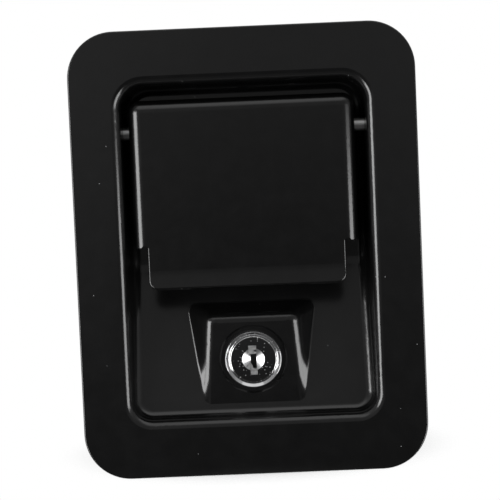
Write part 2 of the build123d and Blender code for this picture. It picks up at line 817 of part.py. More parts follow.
# Housing: a hat-shaped channel that guides the bolt behind the pan
with BuildPart() as latch_housing:
    with BuildSketch(Plane.XY.offset(housing_bottom)) as hat:
        hat_depth = housing_inner_y + housing_sheet - pan_back_y
        with Locations((0, pan_back_y + hat_depth / 2)):
            Rectangle(2 * housing_outer_x, hat_depth)
        with Locations((0, pan_back_y + housing_sheet / 2)):
            Rectangle(2 * (housing_outer_x + housing_flange), housing_sheet)
        with Locations((0, housing_inner_y - hat_depth)):
            Rectangle(2 * (housing_outer_x - housing_sheet), 2 * hat_depth, mode=Mode.SUBTRACT)
        outer_corners = hat.vertices().group_by(Axis.Y)[-1]
        fillet(outer_corners, radius=housing_bend_radius)
        inner_corners = hat.vertices().filter_by(lambda v: abs(v.Y - housing_inner_y) < 0.01)
        fillet(inner_corners, radius=housing_bend_radius - housing_sheet)
    extrude(amount=housing_top - housing_bottom)
    with BuildSketch(across(pan_back_y + housing_sheet)):
        for side in (-1, 1):
            with Locations((side * (housing_outer_x + housing_flange), housing_top)):
                Rectangle(2 * housing_flange, 2 * (housing_top - housing_flange_top))
    extrude(amount=housing_sheet, mode=Mode.SUBTRACT)
    add(rivet_cutters, mode=Mode.SUBTRACT)

housing_rivets = rivets(housing_rivet_spots, floor_y, pan_back_y + housing_sheet)

# Spring bracket, its rivets and the guide pin in its shelf
shelf_depth = tail_y - sliding_gap - pan_back_y

with BuildPart() as spring_bracket:
    with BuildSketch(Plane.YZ) as angle:
        with Locations((pan_back_y + bracket_sheet / 2, bracket_shelf - bracket_height / 2)):
            Rectangle(bracket_sheet, bracket_height)
        with Locations((pan_back_y + shelf_depth / 2, bracket_shelf - bracket_sheet / 2)):
            Rectangle(shelf_depth, bracket_sheet)
        corner = angle.vertices().sort_by(
            lambda v: abs(v.X - pan_back_y) + abs(v.Y - bracket_shelf)
        )[0]
        fillet(corner, radius=bracket_bend_round)
    extrude(amount=bracket_width / 2, both=True)
    add(rivet_cutters, mode=Mode.SUBTRACT)
    with BuildSketch(Plane.XY.offset(bracket_shelf - bracket_sheet)):
        with Locations((0, spring_y)):
            Circle(guide_radius + rivet_hole_gap)
    extrude(amount=bracket_sheet, mode=Mode.SUBTRACT)

bracket_rivets = rivets(bracket_rivet_spots, floor_y, pan_back_y + bracket_sheet)

with BuildPart() as spring_guide:
    flange_low = bracket_shelf - bracket_sheet - guide_flange_thickness
    with BuildSketch(Plane.XY.offset(flange_low)):
        with Locations((0, spring_y)):
            Circle(guide_flange_radius)
    extrude(amount=guide_flange_thickness)
    with BuildSketch(Plane.XY.offset(flange_low)):
        with Locations((0, spring_y)):
            Circle(guide_radius)
    extrude(amount=guide_flange_thickness + bracket_sheet + guide_length)
    chamfer(spring_guide.faces().sort_by(Axis.Z)[-1].edges(), length=guide_tip_chamfer)

# Compression spring between the shelf and the top of the bolt's pocket
spring_low = bracket_shelf + spring_wire / 2
spring_high = bolt_bottom + spring_pocket_depth - spring_wire / 2

bolt_coil = Pos(0, spring_y, spring_low) * Helix(
    pitch=(spring_high - spring_low) / spring_turns,
    height=spring_high - spring_low,
    radius=spring_mean_radius,
)

with BuildPart() as bolt_spring:
    with BuildSketch(Plane(origin=bolt_coil @ 0, z_dir=bolt_coil % 0)):
        Circle(spring_wire / 2)
    sweep(path=bolt_coil, is_frenet=True)

# Torsion spring round the pivot pin: one leg on the pan's floor, the other on the paddle's back
leg_gap = floor_y - torsion_wire / 2 - sliding_gap / 2 - pin_y
leg_reach = (torsion_mean_radius**2 + torsion_leg**2) ** 0.5
leg_angle = asin(leg_gap / leg_reach) - atan2(torsion_mean_radius, torsion_leg)
torsion_pitch = torsion_wire + sliding_gap
torsion_sweep = torsion_turns + 0.5 - leg_angle / pi

coil_plane = Plane(
    origin=(torsion_start, pin_y, pin_height),
    x_dir=(0, cos(leg_angle), sin(leg_angle)),
    z_dir=(1, 0, 0),
)
torsion_coil = coil_plane.location * Helix(
    pitch=torsion_pitch, height=torsion_pitch * torsion_sweep, radius=torsion_mean_radius
)

torsion_start_point = torsion_coil @ 0
torsion_end_point = torsion_coil @ 1

with BuildLine() as torsion_path:
    Line(torsion_start_point - (torsion_coil % 0) * torsion_leg, torsion_start_point)
    add(torsion_coil)
    Line(torsion_end_point, torsion_end_point + (torsion_coil % 1) * torsion_leg)

with BuildPart() as torsion_spring:
    with BuildSketch(Plane(origin=torsion_path.wire() @ 0, z_dir=torsion_path.wire() % 0)):
        Circle(torsion_wire / 2)
    sweep(path=torsion_path.wire())

# Lock body: a chromed bezel in front of a barrel with two flats
face_y = bezel_y + plug_head_sink
plug_seat_y = face_y + plug_head_thickness
body_recess_y = plug_seat_y + plug_running_gap
bore_radius = plug_radius + plug_running_gap
recess_radius = plug_head_radius + plug_running_gap
lock_axis = Axis((0, 0, lock_height), (0, 1, 0))

with BuildPart() as lock_body:
    with BuildSketch(Plane.XY.offset(lock_height)) as section:
        with BuildLine():
            Polyline(
                (recess_radius, body_recess_y),
                (recess_radius, bezel_y),
                (bezel_radius, bezel_y),
                (bezel_radius, lock_seat_y),
                (barrel_radius, lock_seat_y),
                (barrel_radius, barrel_end_y),
                (bore_radius, barrel_end_y),
                (bore_radius, body_recess_y),
                close=True,
            )
        make_face()
        rim = section.vertices().group_by(Axis.Y)[0].sort_by(Axis.X)
        fillet(rim[1], radius=bezel_round)
        chamfer(section.vertices().group_by(Axis.Y)[0].sort_by(Axis.X)[0], length=bezel_inner_chamfer)
    revolve(axis=lock_axis)
    with BuildSketch(across(barrel_end_y)):
        for side in (-1, 1):
            with Locations((side * (barrel_flats / 2 + barrel_radius), lock_height)):
                Rectangle(2 * barrel_radius, 3 * barrel_radius)
    extrude(amount=barrel_length, mode=Mode.SUBTRACT)

# Toothed washer and nut that hold the lock body in the pan
washer_y = lock_seat_y + pan_sheet + rivet_hole_gap

with BuildPart() as lock_washer:
    with BuildSketch(across(washer_y + washer_thickness)):
        with Locations((0, lock_height)):
            Circle(washer_radius - washer_tooth)
            with PolarLocations(washer_radius - washer_tooth, washer_teeth):
                Rectangle(2 * washer_tooth, 2 * washer_tooth)
            Circle(barrel_radius + barrel_hole_gap, mode=Mode.SUBTRACT)
    extrude(amount=washer_thickness)

nut_y = washer_y + washer_thickness + rivet_hole_gap

with BuildPart() as lock_nut:
    with BuildSketch(across(nut_y + nut_thickness)):
        with Locations((0, lock_height)):
            Circle(nut_across_flats / 2 / cos(pi / 6))
    extrude(amount=nut_thickness)
    chamfer(lock_nut.faces().filter_by(Axis.Y).edges(), length=nut_chamfer)
    with BuildSketch(across(nut_y + nut_thickness)):
        with Locations((0, lock_height)):
            RegularPolygon(nut_across_flats / 2, 6, major_radius=False)
            Circle(barrel_radius + rivet_hole_gap, mode=Mode.SUBTRACT)
    extrude(amount=nut_thickness, mode=Mode.INTERSECT)

# Lock plug: the turning cylinder, with its key slot, wafer slots and square drive
wafer_spots = [face_y + wafer_first + number * wafer_pitch for number in range(wafer_count)]

with BuildPart() as lock_plug:
    with BuildSketch(across(plug_seat_y)):
        with Locations((0, lock_height)):
            Circle(plug_head_radius)
    extrude(amount=plug_head_thickness)
    fillet(lock_plug.faces().sort_by(Axis.Y)[0].edges(), radius=plug_head_sink)
    with BuildSketch(across(cam_y)):
        with Locations((0, lock_height)):
            Circle(plug_radius)
    extrude(amount=cam_y - plug_seat_y)
    with BuildSketch(across(cam_back_y - cam_gap)):
        with Locations((0, lock_height)):
            RectangleRounded(drive_square, drive_square, drive_corner)
    extrude(amount=cam_thickness - cam_gap)
    with BuildSketch(across(face_y + face_cone_depth)):
        with Locations((0, lock_height)):
            Circle(face_cone_radius - face_cone_depth)
    extrude(amount=face_cone_depth, taper=-45, mode=Mode.SUBTRACT)
    with BuildSketch(across(face_y + keyway_depth)):
        with Locations((0, lock_height)):
            Rectangle(keyway_width, keyway_height)
    extrude(amount=keyway_depth, mode=Mode.SUBTRACT)
    for spot in wafer_spots:
        with BuildSketch(across(spot + wafer_thickness + wafer_gap)):
            with Locations((0, lock_height)):
                Rectangle(wafer_width + 2 * wafer_gap, 4 * plug_radius)
        extrude(amount=wafer_thickness + 2 * wafer_gap, mode=Mode.SUBTRACT)
    with BuildSketch(across(cam_back_y)):
        with Locations((0, lock_height)):
            Circle(cam_screw_radius + rivet_hole_gap)
    extrude(amount=cam_screw_length, mode=Mode.SUBTRACT)

with BuildPart() as wafers:
    for spot in wafer_spots:
        with BuildSketch(across(spot + wafer_thickness)):
            with Locations((0, lock_height)):
                Circle(plug_radius - wafer_gap)
                Rectangle(wafer_width, wafer_height, mode=Mode.INTERSECT)
                Rectangle(wafer_window_width, wafer_window_height, mode=Mode.SUBTRACT)
        extrude(amount=wafer_thickness)

with BuildPart() as dust_shutter:
    with BuildSketch(across(face_y + shutter_sink + shutter_thickness)):
        with Locations((0, lock_height)):
            Rectangle(keyway_width - wafer_gap, keyway_height - wafer_gap)
            Rectangle(shutter_slot_width, shutter_slot_height, mode=Mode.SUBTRACT)
    extrude(amount=shutter_thickness)

# Cam, its washer and its screw on the plug's square drive
with BuildPart() as cam:
    with BuildSketch(across(cam_back_y)):
        with Locations((0, lock_height)):
            Circle(cam_hub_radius)
        with Locations((0, lock_height - (cam_arm_length - cam_arm_width / 2) / 2)):
            Rectangle(cam_arm_width, cam_arm_length - cam_arm_width / 2)
        with Locations((0, lock_height - cam_arm_length + cam_arm_width / 2)):
            Circle(cam_arm_width / 2)
        with Locations((0, lock_height)):
            Rectangle(drive_square + wafer_gap, drive_square + wafer_gap, mode=Mode.SUBTRACT)
    extrude(amount=cam_thickness)

with BuildPart() as cam_washer:
    with BuildSketch(across(cam_back_y + cam_washer_thickness)):
        with Locations((0, lock_height)):
            Circle(cam_washer_radius)
            Circle(cam_screw_radius + rivet_hole_gap, mode=Mode.SUBTRACT)
    extrude(amount=cam_washer_thickness)

screw_head_y = cam_back_y + cam_washer_thickness

with BuildPart() as cam_screw:
    with BuildSketch(across(screw_head_y + cam_screw_head_height)):
        with Locations((0, lock_height)):
            Circle(cam_screw_head_radius)
    extrude(amount=cam_screw_head_height)
    fillet(cam_screw.faces().sort_by(Axis.Y)[-1].edges(), radius=cam_screw_head_round)
    with BuildSketch(across(screw_head_y)):
        with Locations((0, lock_height)):
            Circle(cam_screw_radius)
    extrude(amount=cam_screw_length)
    with BuildSketch(across(screw_head_y + cam_screw_head_height)):
        with Locations((0, lock_height)):
            Rectangle(cam_screw_slot_length, cam_screw_slot_width)
            Rectangle(cam_screw_slot_width, cam_screw_slot_length)
    extrude(amount=cam_screw_slot_depth, mode=Mode.SUBTRACT)

pieces = {
    "pan": pan.part,
    "flange_gasket": flange_gasket.part,
    "mounting_studs": mounting_studs.part,
    "latch_housing": latch_housing.part,
    "housing_rivets": housing_rivets,
    "spring_bracket": spring_bracket.part,
    "bracket_rivets": bracket_rivets,
    "spring_guide": spring_guide.part,
    "bolt_spring": bolt_spring.part,
    "torsion_spring": torsion_spring.part,
    "pivot_pin": pivot_pin.part,
    "pin_clip": pin_clip.part,
    "paddle": shifted_paddle,
    "drive_lever": drive_lever.part,
    "latch_bolt": latch_bolt.part,
    "bolt_tail": bolt_tail.part,
    "tail_rivets": tail_rivets.part,
    "lock_body": lock_body.part,
    "lock_washer": lock_washer.part,
    "lock_nut": lock_nut.part,
    "lock_plug": lock_plug.part,
    "wafers": wafers.part,
    "dust_shutter": dust_shutter.part,
    "cam": cam.part,
    "cam_washer": cam_washer.part,
    "cam_screw": cam_screw.part,
}

os.makedirs("parts", exist_ok=True)
for name, solid in pieces.items():
    solid.label = name
    export_step(solid, f"parts/{name}.step")
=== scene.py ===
"""Looks of the enclosure door lock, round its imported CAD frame. Metres, in the row frame."""
import json
import math

import bmesh
import bpy
import numpy as np
from mathutils import Matrix, Vector


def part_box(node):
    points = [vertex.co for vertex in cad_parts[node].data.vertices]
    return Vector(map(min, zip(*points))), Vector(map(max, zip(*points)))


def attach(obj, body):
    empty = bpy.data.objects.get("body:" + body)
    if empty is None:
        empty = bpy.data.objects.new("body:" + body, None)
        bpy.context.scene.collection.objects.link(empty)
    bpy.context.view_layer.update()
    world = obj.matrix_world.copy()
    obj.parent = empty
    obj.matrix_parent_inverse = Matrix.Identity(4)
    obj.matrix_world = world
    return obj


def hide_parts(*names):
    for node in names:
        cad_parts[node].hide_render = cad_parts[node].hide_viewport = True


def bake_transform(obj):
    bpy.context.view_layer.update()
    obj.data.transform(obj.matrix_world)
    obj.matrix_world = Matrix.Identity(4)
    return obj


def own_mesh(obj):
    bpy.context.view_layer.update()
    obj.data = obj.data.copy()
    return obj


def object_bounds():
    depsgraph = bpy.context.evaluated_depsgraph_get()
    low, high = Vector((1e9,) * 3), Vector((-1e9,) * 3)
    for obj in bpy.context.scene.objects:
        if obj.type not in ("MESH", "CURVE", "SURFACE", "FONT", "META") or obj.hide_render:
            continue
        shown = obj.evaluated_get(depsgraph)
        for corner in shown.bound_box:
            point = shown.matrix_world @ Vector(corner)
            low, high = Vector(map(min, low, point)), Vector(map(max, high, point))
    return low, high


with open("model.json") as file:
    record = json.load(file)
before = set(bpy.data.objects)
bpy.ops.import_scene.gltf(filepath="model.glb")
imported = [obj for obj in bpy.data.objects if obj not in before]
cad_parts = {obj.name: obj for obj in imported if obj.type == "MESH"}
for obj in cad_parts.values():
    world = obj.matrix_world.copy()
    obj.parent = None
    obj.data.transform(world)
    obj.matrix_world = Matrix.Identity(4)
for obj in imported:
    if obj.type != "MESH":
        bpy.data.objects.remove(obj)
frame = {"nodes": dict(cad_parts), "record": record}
cad_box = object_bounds()
nodes = frame["nodes"]
record = frame["record"]

MM = 0.001
FULL_TURN = 2 * math.pi
scene = bpy.context.scene
scene.view_settings.view_transform = "Standard"


# Places that the frame gives, in millimetres
def box_mm(node):
    """Lowest and highest corner of a CAD node, in millimetres."""
    return [Vector(corner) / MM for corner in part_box(node)]


joint_of = {joint["name"]: joint for joint in record["behaviour"]["joints"]}
PIN_Y, PIN_Z = [place / MM for place in joint_of["paddle_pivot"]["pos_m"][1:]]
LOCK_Z = joint_of["lock_turn"]["pos_m"][2] / MM
BEZEL_FRONT_Y = box_mm("lock_body")[0].y
BARREL_END_Y = box_mm("lock_body")[1].y
FACE_Y = box_mm("lock_plug")[0].y
DRIVE_END_Y = box_mm("lock_plug")[1].y
STUD_LENGTH = box_mm("mounting_studs")[1].y
SHELF_Z = box_mm("spring_bracket")[1].z
SPRING_Y = sum(corner.y for corner in box_mm("bolt_spring")) / 2
stud_grid = next(mount["dims"] for mount in record["mounts"] if mount["name"] == "studs")
STUDS = [
    (side * stud_grid["spacing_x_mm"] / 2, end * stud_grid["spacing_y_mm"] / 2)
    for side in (-1, 1)
    for end in (-1, 1)
]

# Sizes of the CAD source that the frame doesn't tell, in millimetres
SEAT_Y = 6.6
PLUG_SEAT_Y = 5.62
DRIVE_START_Y = 31.1
CONE_R = 3.55
BOSS_TOP = -20.5
BOSS_FOOT = -48.5
BOSS_HALF_TOP = 13.55
BOSS_HALF_FOOT = 15.85

# Key slot, from the lock's axis, in millimetres: a wide top, a narrow waist and a foot
SLOT_TOP = 4.4
SLOT_LEFT = -1.55
SLOT_RIGHT = 1.0
WAIST_LEFT = -0.9
WAIST_TOP = 1.72
FOOT_TOP = -2.95
FOOT_LEFT = -1.05
FOOT_RIGHT = 1.2
FOOT_LOW = -4.95


# Node helpers
class Tree:
    """A node tree with short calls. Each call returns the node's first useful output."""

    def __init__(self, tree):
        self.tree = tree

    def node(self, kind, inputs=(), **settings):
        made = self.tree.nodes.new(kind)
        for key, value in settings.items():
            setattr(made, key, value)
        for key, value in dict(inputs).items():
            socket = made.inputs[key]
            if isinstance(value, bpy.types.NodeSocket):
                self.tree.links.new(value, socket)
            else:
                socket.default_value = value
        return made

    def at(self):
        """The point's place, which moves with its body."""
        return self.node("ShaderNodeTexCoord").outputs["Object"]

    def parts(self, vector):
        """The three parts of a vector, by letter."""
        return self.node("ShaderNodeSeparateXYZ", {"Vector": vector}).outputs

    def stretch(self, where, scale, turn=(0, 0, 0)):
        return self.node(
            "ShaderNodeMapping", {"Vector": where, "Scale": scale, "Rotation": turn}
        ).outputs["Vector"]

    def noise(self, where, scale, detail=2.0, rough=0.5, warp=0.0):
        return self.node(
            "ShaderNodeTexNoise",
            {"Vector": where, "Scale": scale, "Detail": detail, "Roughness": rough, "Distortion": warp},
        ).outputs["Fac"]

    def cells(self, where, scale, feature="F1"):
        return self.node("ShaderNodeTexVoronoi", {"Vector": where, "Scale": scale}, feature=feature)

    def some_cells(self, cells, channel, share, edge):
        """1 in that share of the cells, picked by one channel of their random colour."""
        colour = self.node("ShaderNodeSeparateColor", {"Color": cells.outputs["Color"]})
        return self.span(colour.outputs[channel], 1.0 - share, 1.0 - share + edge)

    def span(self, value, low, high, to_low=0.0, to_high=1.0):
        return self.node(
            "ShaderNodeMapRange",
            {"Value": value, "From Min": low, "From Max": high, "To Min": to_low, "To Max": to_high},
        ).outputs["Result"]

    def spread(self, noise, to_low=0.0, to_high=1.0):
        """A noise's middle stretch, where most of its values lie, spread over a range."""
        return self.span(noise, 0.3, 0.7, to_low, to_high)

    def math(self, what, a, b=0.0, c=0.0):
        return self.node("ShaderNodeMath", {0: a, 1: b, 2: c}, operation=what).outputs[0]

    def vector(self, what, inputs):
        return self.node("ShaderNodeVectorMath", inputs, operation=what)

    def mix(self, share, a, b):
        """A colour mix, by socket index, because the mix node repeats its socket names."""
        made = self.tree.nodes.new("ShaderNodeMix")
        made.data_type = "RGBA"
        for index, value in ((0, share), (6, a), (7, b)):
            socket = made.inputs[index]
            if isinstance(value, bpy.types.NodeSocket):
                self.tree.links.new(value, socket)
            else:
                socket.default_value = value if index == 0 else (*value[:3], 1.0)
        return made.outputs[2]

    def bump(self, height, distance, strength=1.0, before=None):
        inputs = {"Height": height, "Distance": distance, "Strength": strength}
        if before is not None:
            inputs["Normal"] = before
        return self.node("ShaderNodeBump", inputs).outputs["Normal"]


def grey(level):
    return (level, level, level)


def material(name, paint):
    """A material whose surface is a Principled shader, set up by paint(tree, shader)."""
    made = bpy.data.materials.new(name)
    made.use_nodes = True
    shader = made.node_tree.nodes["Principled BSDF"]
    paint(Tree(made.node_tree), shader)
    return made


def feed(tree, shader, **sockets):
    """Sets sockets of a shader by name, with links or with constants."""
    for key, value in sockets.items():
        socket = shader.inputs[key.replace("_", " ")]
        if isinstance(value, bpy.types.NodeSocket):
            tree.tree.links.new(value, socket)
        else:
            socket.default_value = value


# Black coat
def run_out(t):
    """The pan's normal, eased towards the front where the boss's flanks run out into the ramp."""
    widening = (-33.5 * MM, -43.0 * MM)
    widest = 4.2 * MM
    fading = (-40.0 * MM, -48.5 * MM)
    bend = (-0.1 * MM, 1.1 * MM)
    blur = (-2.2 * MM, 1.4 * MM)
    region = (21.0 * MM, 23.0 * MM)
    flank_share = 0.514
    place = t.parts(t.at())
    aside = t.math("ABSOLUTE", place["X"])
    ridge = t.span(place["Z"], BOSS_TOP * MM, BOSS_FOOT * MM, BOSS_HALF_TOP * MM, BOSS_HALF_FOOT * MM)
    past = t.math("SUBTRACT", aside, ridge)
    reach = t.span(place["Z"], *widening, 0.0, widest)
    inside = t.span(t.math("SUBTRACT", reach, past), *blur)
    share = t.math("MULTIPLY", inside, t.span(past, *bend, 0.0, flank_share))
    share = t.math("MAXIMUM", share, t.span(place["Z"], *fading))
    normal = t.node("ShaderNodeNewGeometry").outputs["Normal"]
    facing = t.parts(normal)
    on_flank = t.span(t.math("ABSOLUTE", facing["X"]), 0.08, 0.20)
    on_front = t.span(facing["Y"], -0.2, 0.0, 1.0, 0.0)
    near_boss = t.span(aside, *region, 1.0, 0.0)
    for mask in (on_flank, on_front, near_boss):
        share = t.math("MULTIPLY", share, mask)
    kept = t.vector("SCALE", {0: normal, "Scale": t.math("SUBTRACT", 1.0, share)})
    front = t.node("ShaderNodeCombineXYZ", {"Y": t.math("MULTIPLY", share, -1.0)})
    eased = t.vector("ADD", {0: kept.outputs[0], 1: front.outputs[0]})
    return t.vector("NORMALIZE", {0: eased.outputs[0]}).outputs[0]


def coat(level, rough, specks, pressed=False):
    """Black coat on sheet metal: faint ripple, a few specks of dust and slightly uneven gloss."""
    darker = 0.88
    lighter = (1.14, 1.14, 1.17)
    dust_colour = (0.42, 0.42, 0.43)
    dull = 0.4
    low = grey(level * darker)
    high = tuple(level * share for share in lighter)

    def paint(t, shader):
        where = t.at()
        ripple = t.noise(where, scale=1500.0, detail=2.0, rough=0.55)
        cloud = t.noise(where, scale=45.0, detail=3.0, rough=0.55)
        swell = t.noise(where, scale=260.0, detail=2.0, rough=0.5)
        sheen = t.noise(where, scale=160.0, detail=4.0, rough=0.6)
        colour = t.mix(cloud, low, high)
        dust = t.cells(where, scale=330.0)
        near = t.span(dust.outputs["Distance"], 0.030, 0.042, 1.0, 0.0)
        speck = t.math("MULTIPLY", near, t.some_cells(dust, "Red", specks, edge=0.002))
        colour = t.mix(speck, colour, dust_colour)
        gloss = t.spread(sheen, rough - 0.02, rough + 0.03)
        gloss = t.math("MULTIPLY_ADD", speck, dull, gloss)
        normal = t.bump(ripple, distance=0.012 * MM, strength=0.45, before=run_out(t) if pressed else None)
        normal = t.bump(swell, distance=0.04 * MM, strength=0.35, before=normal)
        feed(t, shader, Base_Color=colour, Roughness=gloss, Normal=normal, Specular_IOR_Level=0.75)

    return paint


# Bare and plated metals
def plated(colour, rough, grain=900.0, depth=0.006 * MM, spread=0.12):
    """Zinc-plated or bright steel: cloudy tone, fine drawn lines and handling marks."""

    def paint(t, shader):
        where = t.at()
        cloud = t.noise(where, scale=70.0, detail=4.0, rough=0.6, warp=0.4)
        low = tuple(c * (1 - spread) for c in colour)
        high = tuple(min(1.0, c * (1 + spread)) for c in colour)
        tone = t.mix(t.spread(cloud), low, high)
        marks = t.noise(t.stretch(where, scale=(1.0, 0.15, 1.0)), scale=grain, detail=3.0, rough=0.6)
        gloss = t.spread(marks, rough - 0.06, rough + 0.08)
        normal = t.bump(marks, depth, strength=0.6)
        feed(t, shader, Base_Color=tone, Roughness=gloss, Normal=normal, Metallic=1.0)

    return paint


def chromed(colour, rough):
    """Bright chrome with hairline marks, and small pits that catch the light."""
    marked_share = 0.20
    dull = 0.5

    def paint(t, shader):
        where = t.at()
        along = t.stretch(where, scale=(1.0, 1.0, 9.0), turn=(0.0, 0.6, 0.0))
        hair = t.noise(along, scale=420.0, detail=3.0, rough=0.65)
        pits = t.cells(where, scale=1500.0)
        pit = t.span(pits.outputs["Distance"], 0.14, 0.30, 1.0, 0.0)
        pit = t.math("MULTIPLY", pit, t.some_cells(pits, "Green", marked_share, edge=0.01))
        gloss = t.span(hair, 0.35, 0.75, rough, rough + 0.05)
        gloss = t.math("MULTIPLY_ADD", pit, dull, gloss)
        tone = t.mix(hair, tuple(c * 0.9 for c in colour), colour)
        normal = t.bump(hair, distance=0.0012 * MM, strength=0.5)
        normal = t.bump(t.math("SUBTRACT", 1.0, pit), distance=0.02 * MM, strength=0.6, before=normal)
        feed(t, shader, Base_Color=tone, Roughness=gloss, Normal=normal, Metallic=1.0)

    return paint


def turned_face(t, shader):
    """Chrome of the plug's face, with a painted highlight along its edge, and a turned cone in its middle.
    """
    cone = (CONE_R * MM - 0.06 * MM, CONE_R * MM - 0.02 * MM)
    # band and colour of the painted highlight: the chrome turns near white towards the face's edge
    edge = (6.90 * MM, 6.96 * MM)
    edge_highlight_colour = grey(0.92)
    ray_length = 60.0
    chromed((0.46, 0.46, 0.47), rough=0.07)(t, shader)
    gloss = shader.inputs["Roughness"].links[0].from_socket
    tone = shader.inputs["Base Color"].links[0].from_socket
    place = t.parts(t.at())
    up = t.math("SUBTRACT", place["Z"], LOCK_Z * MM)
    apart = t.math("SQRT", t.math("MULTIPLY_ADD", up, up, t.math("MULTIPLY", place["X"], place["X"])))
    inside = t.span(apart, *cone, 1.0, 0.0)
    turn = t.math("ARCTAN2", up, place["X"])
    ray = t.node("ShaderNodeCombineXYZ", {"X": turn, "Y": t.math("MULTIPLY", apart, ray_length)})
    streak = t.noise(ray.outputs["Vector"], scale=5.0, detail=3.0, rough=0.6)
    cone_gloss = t.spread(streak, 0.24, 0.36)
    gloss = t.node("ShaderNodeMix", {0: inside, 2: gloss, 3: cone_gloss}).outputs[0]
    # painted highlight: near-white chrome along the edge stands in for the bright ring of light there
    tone = t.mix(t.span(apart, *edge), tone, edge_highlight_colour)
    bright = t.mix(t.spread(streak), (0.50, 0.50, 0.51), (0.68, 0.68, 0.68))
    feed(t, shader, Roughness=gloss, Base_Color=t.mix(inside, tone, bright))


def cast(t, shader):
    """Zinc die casting: dull grey with a grainy skin."""
    where = t.at()
    grain = t.noise(where, scale=1900.0, detail=4.0, rough=0.65)
    cloud = t.noise(where, scale=110.0, detail=3.0, rough=0.6)
    tone = t.mix(cloud, (0.36, 0.36, 0.37), (0.50, 0.50, 0.51))
    gloss = t.spread(grain, 0.38, 0.55)
    normal = t.bump(grain, distance=0.03 * MM, strength=0.6)
    feed(t, shader, Base_Color=tone, Roughness=gloss, Normal=normal, Metallic=1.0)


def sponge(t, shader):
    """Closed-cell rubber: matt black with open pores on its skin."""
    where = t.at()
    pores = t.cells(where, scale=1400.0).outputs["Distance"]
    fine = t.noise(where, scale=2600.0, detail=3.0, rough=0.6)
    tone = t.mix(fine, grey(0.012), (0.032, 0.032, 0.033))
    gloss = t.span(pores, 0.0, 0.6, 0.95, 0.7)
    normal = t.bump(pores, distance=0.12 * MM, strength=0.7)
    normal = t.bump(fine, distance=0.04 * MM, strength=0.5, before=normal)
    feed(t, shader, Base_Color=tone, Roughness=gloss, Normal=normal, Specular_IOR_Level=0.25)


def stamped(t, shader):
    """Stamped brass with shear lines."""
    along = t.stretch(t.at(), scale=(6.0, 0.4, 1.0))
    lines = t.noise(along, scale=700.0, detail=3.0, rough=0.6)
    tone = t.mix(lines, (0.52, 0.38, 0.15), (0.72, 0.56, 0.26))
    gloss = t.spread(lines, 0.24, 0.40)
    normal = t.bump(lines, distance=0.006 * MM, strength=0.6)
    feed(t, shader, Base_Color=tone, Roughness=gloss, Normal=normal, Metallic=1.0)


# Finishes, by the record's material slots
finish_of = {
    "black_coat": material("pan coat", coat(0.0040, rough=0.19, specks=0.15, pressed=True)),
    "black_coat_paddle": material("paddle coat", coat(0.0022, rough=0.19, specks=0.08)),
    "foam_rubber": material("sponge rubber", sponge),
    "zinc_steel": material("zinc plate", plated((0.60, 0.61, 0.63), rough=0.34)),
    "bright_steel": material("bright steel", plated((0.74, 0.73, 0.71), rough=0.22, grain=1300.0)),
    "spring_steel": material("spring wire", plated((0.40, 0.40, 0.41), rough=0.30, grain=1500.0)),
    "zinc_casting": material("zinc casting", cast),
    "chrome": material("chrome body", chromed((0.66, 0.66, 0.67), rough=0.05)),
    "chrome_plug": material("chrome face", turned_face),
    "brass": material("stamped brass", stamped),
}

# Finishes of single pieces
# painted highlight: the pivot pin's steel is near white, brighter than bare steel, so that it reads as lit
# deep in its gap
pin_painted_bright = material(
    "pin painted bright steel", plated((0.97, 0.97, 0.96), rough=0.42, grain=1600.0, depth=0.004 * MM, spread=0.03)
)
step_finish = material("slot steps", plated(grey(0.62), rough=0.40, grain=1600.0, spread=0.10))
# painted shade: the shutter flap is near black, standing for the shade deep in the key slot
flap_painted_shade = material("shutter flap painted shade", plated(grey(0.05), rough=0.50, grain=1600.0, spread=0.10))

for part in record["subparts"]:
    shown = nodes[part["node"]]
    shown.data.materials.clear()
    shown.data.materials.append(finish_of[part["material_slot"]])
# the pivot pin takes the near-white steel of the painted highlight
nodes["pivot_pin"].data.materials[0] = pin_painted_bright


# Mesh helpers, in millimetres
def mesh_object(name, points, faces):
    """An object from points in millimetres, with all its faces turned outwards."""
    data = bpy.data.meshes.new(name)
    data.from_pydata([tuple(MM * c for c in p) for p in points], [], faces)
    data.validate()
    loose = bmesh.new()
    loose.from_mesh(data)
    bmesh.ops.recalc_face_normals(loose, faces=loose.faces)
    loose.to_mesh(data)
    loose.free()
    made = bpy.data.objects.new(name, data)
    scene.collection.objects.link(made)
    return made


def piece(name, points, faces, body, slot, stands_for=(), sharp=30):
    """A piece that rides on a body and takes one of the finishes. sharp is in degrees."""
    made = mesh_object(name, points, faces)
    made.data.materials.append(finish_of[slot])
    made.data.shade_smooth()
    made.data.set_sharp_from_angle(angle=math.radians(sharp))
    if body:
        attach(made, body)
    if stands_for:
        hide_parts(*stands_for)
    return made


def grid_faces(rows, columns, start=0):
    """Quads between rows of points, each of which closes on itself."""
    faces = []
    for i in range(rows - 1):
        for j in range(columns):
            k = (j + 1) % columns
            a = start + i * columns
            b = a + columns
            faces.append((a + j, a + k, b + k, b + j))
    return faces


def tube(path, radius, sides):
    """Points and faces of a round wire along a path, with closed ends. Frames are carried along."""
    path = [np.array(p, float) for p in path]
    ways = []
    for i in range(len(path)):
        way = path[min(i + 1, len(path) - 1)] - path[max(i - 1, 0)]
        ways.append(way / np.linalg.norm(way))
    any_way = (0.31, 0.52, 0.79)
    side = np.cross(ways[0], any_way)
    side /= np.linalg.norm(side)
    points = []
    for p, way in zip(path, ways):
        side = side - way * (side @ way)
        side /= np.linalg.norm(side)
        other = np.cross(way, side)
        for j in range(sides):
            turn = FULL_TURN * j / sides
            points.append(p + radius * (math.cos(turn) * side + math.sin(turn) * other))
    faces = grid_faces(len(path), sides)
    faces.append(tuple(reversed(range(sides))))
    last = (len(path) - 1) * sides
    faces.append(tuple(range(last, last + sides)))
    return points, faces


